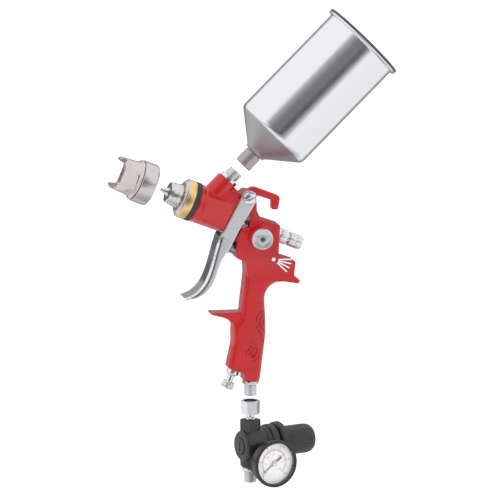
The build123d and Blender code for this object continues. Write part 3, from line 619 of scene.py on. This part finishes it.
def make_pointer():
    low, high = along(GAUGE, "gauge_pointer")
    angle = radians(215)
    level = DIAL_TOP + 0.9 * MM
    turned = GAUGE @ Matrix.Translation((0, 0, level)) @ Matrix.Rotation(angle, 4, "Z")
    outline = [(-10.4, -1.2), (-10.4, 1.2), (-4.5, 0.9), (-1.5, 0.6), (16.8, 0.28), (17.4, 0), (16.8, -0.28)]
    outline += [(-1.5, -0.6), (-4.5, -0.9)]
    bm = bmesh.new()
    loops = [[bm.verts.new(turned @ Vector((x * MM, y * MM, z * MM))) for x, y in outline] for z in (0, 0.35)]
    bm.faces.new(loops[1])
    bm.faces.new(list(reversed(loops[0])))
    for i in range(len(outline)):
        j = (i + 1) % len(outline)
        bm.faces.new((loops[0][i], loops[0][j], loops[1][j], loops[1][i]))
    finished("pointer_hand", bm, "gauge_pointer", "gauge_black", "pointer_grey", 30, ("gauge_pointer",))
    hub = bmesh.new()
    top = level / MM
    profile = [(low / MM, 0.9), (top - 0.4, 0.9), (top - 0.4, 2.8), (top + 0.6, 2.8), (top + 0.9, 2.3), (top + 1.0, 0.02)]
    lathe(hub, GAUGE, mm(profile + [(low / MM, 0.02)]), 40)
    finished("pointer_hub", hub, "gauge_pointer", "gauge_black", "steel", 35)


# ---- grip grooves and the print on the web ---------------------------------------------------------------------------
WEB_HALF = 11.8 * MM
GRIP_HALF = 11.0 * MM


def arc_points(centre, radius, start, end, steps=40):
    """Points of an arc in the XZ plane, in mm, its angles in degrees from +X towards +Z."""
    turns = [radians(start + (end - start) * k / steps) for k in range(steps + 1)]
    return [Vector((centre[0] + radius * cos(a), centre[1] + radius * sin(a))) for a in turns]


def groove_lines():
    """Sunk lines on both faces of the grip: shells about its rear edge, rings at its foot, a wave between."""
    rear, foot = (17.0, 174.0), (-4.1, 144.8)
    lines = [(arc_points(rear, 5.6, 110, 250), 0.8), (arc_points(rear, 9.5, 100, 262), 0.9)]
    lines += [(arc_points(rear, 13.5, 108, 225), 0.9), (arc_points(foot, 1.0, 0, 360), 0.8)]
    lines += [(arc_points(foot, 4.6, -100, 110), 0.8), (arc_points(foot, 8.4, -75, 95), 0.9)]
    heights = [168.0 - 1.2 * k for k in range(40)]
    bends = [9.8 * ((z - 143) / 27.6) ** 2 if z > 143 else 5.3 * ((143 - z) / 22) ** 2 for z in heights]
    lines.append(([Vector((12.9 - bend, z)) for bend, z in zip(bends, heights)], 1.0))
    return lines


def carve_grip(obj):
    depth = 0.8 * MM
    lines = groove_lines()
    sunk = set()
    for v in obj.data.vertices:
        if abs(v.co.y) < GRIP_HALF - 3.0 * MM or not 0.112 < v.co.z < 0.196:
            continue
        here = Vector((v.co.x, v.co.z)) / MM
        near = max(max(0.0, 1 - (min((here - p).length for p in line) / wide) ** 2) for line, wide in lines)
        v.co.y -= depth * near * (1 if v.co.y > 0 else -1)
        if near > 0.3:
            sunk.add(v.index)
    # faces sunk into the grooves get the darker red, a painted shade
    obj.data.materials.append(MATERIALS["painted_groove_shade"])
    for face in obj.data.polygons:
        face.material_index = int(all(i in sunk for i in face.vertices))


def level_web(obj):
    """Lets the valve block's sides run down into the slimmer grip without a step."""
    low, high = 0.222, 0.256
    for v in obj.data.vertices:
        share = min(1.0, max(0.0, (v.co.z - low) / (high - low)))
        limit = GRIP_HALF + (WEB_HALF - GRIP_HALF) * share * share * (3 - 2 * share)
        if abs(v.co.y) > limit and v.co.x > -0.0172 and v.co.z < 0.262:
            v.co.y = limit if v.co.y > 0 else -limit


def round_finger(obj, radius=4.2):
    """Rounds the front corners of the trigger's channel below its flat arms, in mm."""
    back, front = SPRAY.inverted(), {}
    places = [back @ v.co / MM for v in obj.data.vertices]
    for p in places:
        key = round(p.x)
        front[key] = min(front.get(key, 1e9), p.z)
    ahead = [front[k] for k in sorted(front)]
    keys = sorted(front)
    for v, p in zip(obj.data.vertices, places):
        share = min(1.0, max(0.0, (p.x - 20.0) / 10.0))
        k = keys.index(round(p.x))
        slope = ahead[min(k + 2, len(keys) - 1)] - ahead[max(k - 2, 0)]
        depth = (p.z - front[keys[k]]) / (1 + (slope / 4) ** 2) ** 0.5
        if share == 0.0 or depth >= radius:
            continue
        cut = radius - (radius * radius - (radius - max(depth, 0.0)) ** 2) ** 0.5
        limit = ARM_HALF - min(cut, 3.6) * share * MM
        v.co.y = max(-limit, min(limit, v.co.y))


def make_spray_sign():
    """A plain printed sign: a dot and a fan of four strokes, along the spray axis's slope."""
    slope = Vector(JOINTS["needle_pull"]["axis"]).normalized()
    web = Vector((0.0316, -WEB_HALF, 0.2368))
    out = Vector((0, -1, 0))
    place = Matrix((slope, slope.cross(out) * -1, out)).transposed().to_4x4()
    base = Matrix.Translation(web) @ place
    low, high = -0.2 * MM, 0.12 * MM
    bm = bmesh.new()
    for turn in (-21, -7, 7, 21):
        spread = base @ Matrix.Translation((-10 * MM, 0, low)) @ Matrix.Rotation(radians(turn), 4, "Z")
        bar(bm, spread @ Matrix.Translation((5.2 * MM, 0, 0)), 14.5 * MM, 1.5 * MM, high - low)
    count = 32
    rings = []
    for level in (low, high):
        turns = [2 * pi * i / count for i in range(count)]
        ring = [Vector((-10 * MM + 2.1 * MM * cos(a), 2.1 * MM * sin(a), level)) for a in turns]
        rings.append([bm.verts.new(base @ p) for p in ring])
    bm.faces.new(rings[1])
    bm.faces.new(list(reversed(rings[0])))
    for i in range(count):
        j = (i + 1) % count
        bm.faces.new((rings[0][i], rings[0][j], rings[1][j], rings[1][i]))
    finished("spray_sign", bm, "gun", "red_paint", "ink_white", 30)


# ---- the rest of the nodes -----------------------------------------------------------------------------
ARM_HALF = max(abs(v.co.y) for v in NODES["trigger"].data.vertices)

FINISHED = {
    "air_cap": 0.35,
    "air_cap_ring": 0.4,
    "air_cap_seal": 0.15,
    "air_distribution_ring": 0.3,
    "head_gasket": 0.4,
    "fluid_nozzle": 0.25,
    "needle_guide_nut": 0.25,
    "fluid_knob": 0.25,
    "air_valve_gland": 0.3,
    "trigger_pivot_screw": 0.25,
    "trigger_pivot_nut": 0.3,
    "fan_valve_housing": 0.25,
    "fan_knob": 0.25,
    "fan_knob_screw": 0.12,
    "air_adjuster_housing": 0.3,
    "air_adjuster_knob": 0.3,
    "lid_vent": 0.3,
    "regulator_end_plug": 0.3,
    "regulator_bonnet": 0.5,
    "bonnet_lock_ring": 0.3,
    "regulator_knob": 0.3,
    "swivel_nipple": 0.25,
    "swivel_nut": 0.3,
    "gauge_case": 0.5,
    "gauge_bezel": 0.4,
}


def second_finish(obj, material, chosen):
    """Gives the faces for which chosen(centre, normal) is true another finish."""
    obj.data.materials.append(MATERIALS[material])
    for face in obj.data.polygons:
        face.material_index = int(chosen(face.center, face.normal))


OWN_FINISH = {
    "fan_knob": "satin_face",
    "fan_knob_screw": "dark_steel",
    "air_valve_gland": "dark_chrome",
    "needle_packing_screw": "dark_steel",
    "needle_collar": "dark_steel",
    "trigger_cross_pin": "dark_steel",
}


def make_rest():
    for node, obj in NODES.items():
        obj.data.materials.clear()
        obj.data.materials.append(MATERIALS[OWN_FINISH.get(node, SLOT_OF[node])])
    made = {node: refined(node, edge, OWN_FINISH.get(node)) for node, edge in FINISHED.items()}
    axis = (SPRAY.to_3x3() @ Vector((0, 0, 1))).normalized()
    second_finish(made["air_distribution_ring"], "pale_brass", lambda place, normal: normal.dot(axis) < -0.25)
    trigger = cast("trigger", 0.45, 0.5, 3)
    round_finger(trigger)
    second_finish(trigger, "satin_steel", on_arm)
    floor = along(SPRAY, "air_cap")[0] + 5.5 * MM
    back = SPRAY.inverted()
    second_finish(made["air_cap"], "warm_nickel", lambda place, normal: in_horn_gap(back @ place, normal, axis, floor))


def on_arm(place, normal):
    """True on the trigger's flat arms, above the place where its finger channel takes over."""
    down = (SPRAY.inverted() @ place).x
    return abs(normal.y) > 0.85 and abs(place.y) > ARM_HALF - 0.8 * MM and down < 22 * MM


def in_horn_gap(place, normal, axis, floor):
    return place.z > floor and abs(place.y) < 5.7 * MM and abs(place.x) < 12.6 * MM and normal.dot(axis) < -0.5


# ---- light and floor -------------------------------------------------------------------------------------
def make_world():
    """A pale studio: darker towards the viewer, in a low band all round, and straight behind the object."""
    world = bpy.data.worlds.new("studio")
    world.use_nodes = True
    bpy.context.scene.world = world
    nodes, links = world.node_tree.nodes, world.node_tree.links
    coords = nodes.new("ShaderNodeTexCoord")

    def ramped(value, stops):
        ramp = nodes.new("ShaderNodeValToRGB")
        elements = ramp.color_ramp.elements
        while len(elements) < len(stops):
            elements.new(0.5)
        for element, (place, shade) in zip(elements, stops):
            element.position = place
            element.color = (shade, shade, shade, 1)
        links.new(value, ramp.inputs["Fac"])
        return ramp.outputs["Color"]

    towards = nodes.new("ShaderNodeVectorMath")
    towards.operation = "DOT_PRODUCT"
    towards.inputs[1].default_value = BACK * 0.5
    links.new(coords.outputs["Generated"], towards.inputs[0])
    centred = nodes.new("ShaderNodeMath")
    centred.operation = "ADD"
    centred.inputs[1].default_value = 0.5
    links.new(towards.outputs["Value"], centred.inputs[0])
    front = [(0.5 + 0.5 * cos(radians(a)), shade) for a, shade in ((144, 0.36), (137, 1.0), (38, 1.02), (33, 0.52), (12, 0.2))]
    around = ramped(centred.outputs[0], front)

    parts = nodes.new("ShaderNodeSeparateXYZ")
    links.new(coords.outputs["Generated"], parts.inputs[0])
    height = nodes.new("ShaderNodeMath")
    height.operation = "MULTIPLY_ADD"
    height.inputs[1].default_value = 0.5
    height.inputs[2].default_value = 0.5
    links.new(parts.outputs["Z"], height.inputs[0])
    layers = [(0.0, 0.5), (0.12, 1.0), (0.45, 1.05), (0.48, 0.4), (0.53, 0.4), (0.56, 1.08), (1.0, 1.05)]
    level = ramped(height.outputs[0], layers)

    both = nodes.new("ShaderNodeMixRGB")
    both.blend_type = "MULTIPLY"
    both.inputs["Fac"].default_value = 1.0
    links.new(around, both.inputs["Color1"])
    links.new(level, both.inputs["Color2"])
    links.new(both.outputs["Color"], nodes["Background"].inputs["Color"])
    nodes["Background"].inputs["Strength"].default_value = 1.0


def area_light(name, direction, distance, size, power, colour=(1, 1, 1)):
    data = bpy.data.lights.new(name, "AREA")
    data.shape = "RECTANGLE"
    data.size, data.size_y = size
    data.energy = power
    data.color = colour
    light = bpy.data.objects.new(name, data)
    bpy.context.scene.collection.objects.link(light)
    light.location = AIM + Vector(direction).normalized() * distance
    light.rotation_mode = "QUATERNION"
    light.rotation_quaternion = Vector(direction).to_track_quat("Z", "Y")
    light.visible_glossy = False


def make_floor():
    bm = bmesh.new()
    half = 30.0
    corners = [(-half, -half), (half, -half), (half, half), (-half, half)]
    bm.faces.new([bm.verts.new((x, y, FLOOR_Z)) for x, y in corners])
    mesh = bpy.data.meshes.new("floor")
    bm.to_mesh(mesh)
    bm.free()
    floor = bpy.data.objects.new("floor", mesh)
    bpy.context.scene.collection.objects.link(floor)
    s = Shader("floor")
    s.colour(s.ramp(s.noise(0.4, 2), [(0.0, (0.93, 0.93, 0.93)), (1.0, (0.95, 0.95, 0.95))]))
    s.set(Roughness=0.9, Emission_Color=(1, 1, 1, 1), Emission_Strength=0.25)
    mesh.materials.append(s.material)
    floor.visible_glossy = False


def make_light():
    make_world()
    make_floor()
    area_light("key", (-1.0, -0.9, 1.3), 2.2, (1.1, 1.1), 18)
    area_light("fill", (1.4, -0.5, 0.5), 2.2, (0.8, 1.4), 4)
    bpy.context.scene.view_settings.view_transform = "Standard"


make_rest()
body = cast("gun_body", 0.5, 0.5, 6)
level_web(body)
carve_grip(body)
cast("regulator_body", 0.4, 0.5, 4)
make_cup()
make_lid()
make_cup_neck()
make_paint_nipple()
make_air_nipple()
make_regulator_inlet()
make_dial_marks()
make_dial_numbers()
make_pointer()
make_spray_sign()
make_light()


def write_sizes():
    import json


write_sizes()
